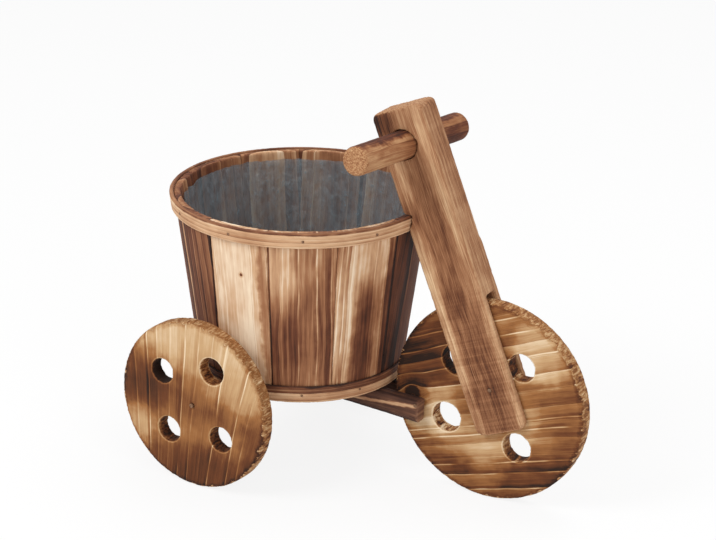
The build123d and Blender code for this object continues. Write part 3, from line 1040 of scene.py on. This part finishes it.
class STAND_OT_stage(bpy.types.Operator):
    """Sets the floor, the lamps and the camera"""

    bl_idname = "stand.stage"
    bl_label = "Stage"

    def execute(self, context):
        scene = context.scene
        settings = scene.plant_stand.stage
        scene.view_settings.view_transform = "Standard"
        self.make_floor(scene, settings)
        self.make_world(scene)
        for lamp in LAMPS:
            self.make_lamp(scene, *lamp)
        self.make_camera(scene, settings)
        return {"FINISHED"}

    def make_floor(self, scene, settings):
        reach = 4.0
        white_share = 0.86
        mesh = bpy.data.meshes.new("floor")
        corners = [(-reach, -reach, 0), (reach, -reach, 0), (reach, reach, 0), (-reach, reach, 0)]
        mesh.from_pydata(corners, [], [(0, 1, 2, 3)])
        floor = bpy.data.objects.new("floor", mesh)
        scene.collection.objects.link(floor)
        graph = Graph("pale_floor")
        diffuse = graph.node("ShaderNodeBsdfDiffuse", {}, {"Color": (*settings.floor_colour, 1)})
        white = graph.node("ShaderNodeEmission", {}, {"Color": (1, 1, 1, 1), "Strength": 1.0})
        lit = graph.node("ShaderNodeMixShader", {}, {0: white_share, 1: diffuse, 2: white})
        seen = self.seen_directly(graph)
        graph.node_output(graph.node("ShaderNodeMixShader", {}, {0: seen, 1: diffuse, 2: lit}))
        dress(floor, graph.owner)

    def seen_directly(self, graph):
        path = graph.node("ShaderNodeLightPath", {}, {}).socket.node
        rays = [Value(graph, path.outputs[name]) for name in
                ("Is Camera Ray", "Is Glossy Ray", "Is Transmission Ray")]
        return rays[0].math("MAXIMUM", rays[1]).math("MAXIMUM", rays[2])

    def make_world(self, scene):
        graph = Graph("studio", bpy.data.worlds)
        scene.world = graph.owner
        soft = graph.node("ShaderNodeBackground", {}, {"Color": (1, 1, 1, 1), "Strength": 0.55})
        white = graph.node("ShaderNodeBackground", {}, {"Color": (1, 1, 1, 1), "Strength": 1.0})
        seen = self.seen_directly(graph)
        mixed = graph.node("ShaderNodeMixShader", {}, {0: seen, 1: soft, 2: white})
        graph.node_output(mixed, "ShaderNodeOutputWorld")

    def make_lamp(self, scene, name, place, size, power):
        lamp = bpy.data.lights.new(name, "AREA")
        lamp.shape = "DISK"
        lamp.size = size
        lamp.energy = power
        holder = bpy.data.objects.new(name, lamp)
        holder.location = place
        aim = LAMP_AIM - Vector(place)
        holder.rotation_euler = aim.to_track_quat("-Z", "Y").to_euler()
        scene.collection.objects.link(holder)

    def make_camera(self, scene, settings):
        azimuth = math.radians(settings.azimuth)
        elevation = math.radians(settings.elevation)
        roll = math.radians(settings.roll)
        back = Vector((
            math.sin(azimuth) * math.cos(elevation),
            -math.cos(azimuth) * math.cos(elevation),
            math.sin(elevation),
        ))
        right = Vector((math.cos(azimuth), math.sin(azimuth), 0))
        up = back.cross(right)
        rolled_right = right * math.cos(roll) + up * math.sin(roll)
        rolled_up = up * math.cos(roll) - right * math.sin(roll)
        aim = Vector((front_hub.x - AIM_BEHIND, 0, AIM_HEIGHT))
        camera = bpy.data.cameras.new("camera")
        camera.sensor_width = 36
        camera.lens = settings.lens * camera.sensor_width
        holder = bpy.data.objects.new("camera", camera)
        turn = Matrix((rolled_right, rolled_up, back)).transposed().to_4x4()
        holder.matrix_world = Matrix.Translation(aim + back * settings.distance) @ turn
        scene.collection.objects.link(holder)
        scene.camera = holder


class STAND_PT_panel(bpy.types.Panel):
    """Lists the stand's pieces"""

    bl_idname = "STAND_PT_panel"
    bl_label = "Plant Stand"
    bl_space_type = "VIEW_3D"
    bl_region_type = "UI"
    bl_category = "Plant Stand"

    def draw(self, context):
        for operator in OPERATORS:
            self.layout.operator(operator.bl_idname)


OPERATORS = (
    STAND_OT_wheels,
    STAND_OT_post,
    STAND_OT_handlebar,
    STAND_OT_chassis,
    STAND_OT_tub,
    STAND_OT_hoops,
    STAND_OT_liner,
    STAND_OT_fixings,
    STAND_OT_stage,
)
CLASSES = (
    WheelSettings,
    PostSettings,
    HandlebarSettings,
    ChassisSettings,
    TubSettings,
    HoopSettings,
    LinerSettings,
    FixingSettings,
    StageSettings,
    StandSettings,
    *OPERATORS,
    STAND_PT_panel,
)


def register():
    for each in CLASSES:
        bpy.utils.register_class(each)
    bpy.types.Scene.plant_stand = PointerProperty(type=StandSettings)


def unregister():
    del bpy.types.Scene.plant_stand
    for each in reversed(CLASSES):
        bpy.utils.unregister_class(each)


def main():
    register()
    for operator in OPERATORS:
        group, name = operator.bl_idname.split(".")
        getattr(getattr(bpy.ops, group), name)()


if __name__ == "__main__":
    main()
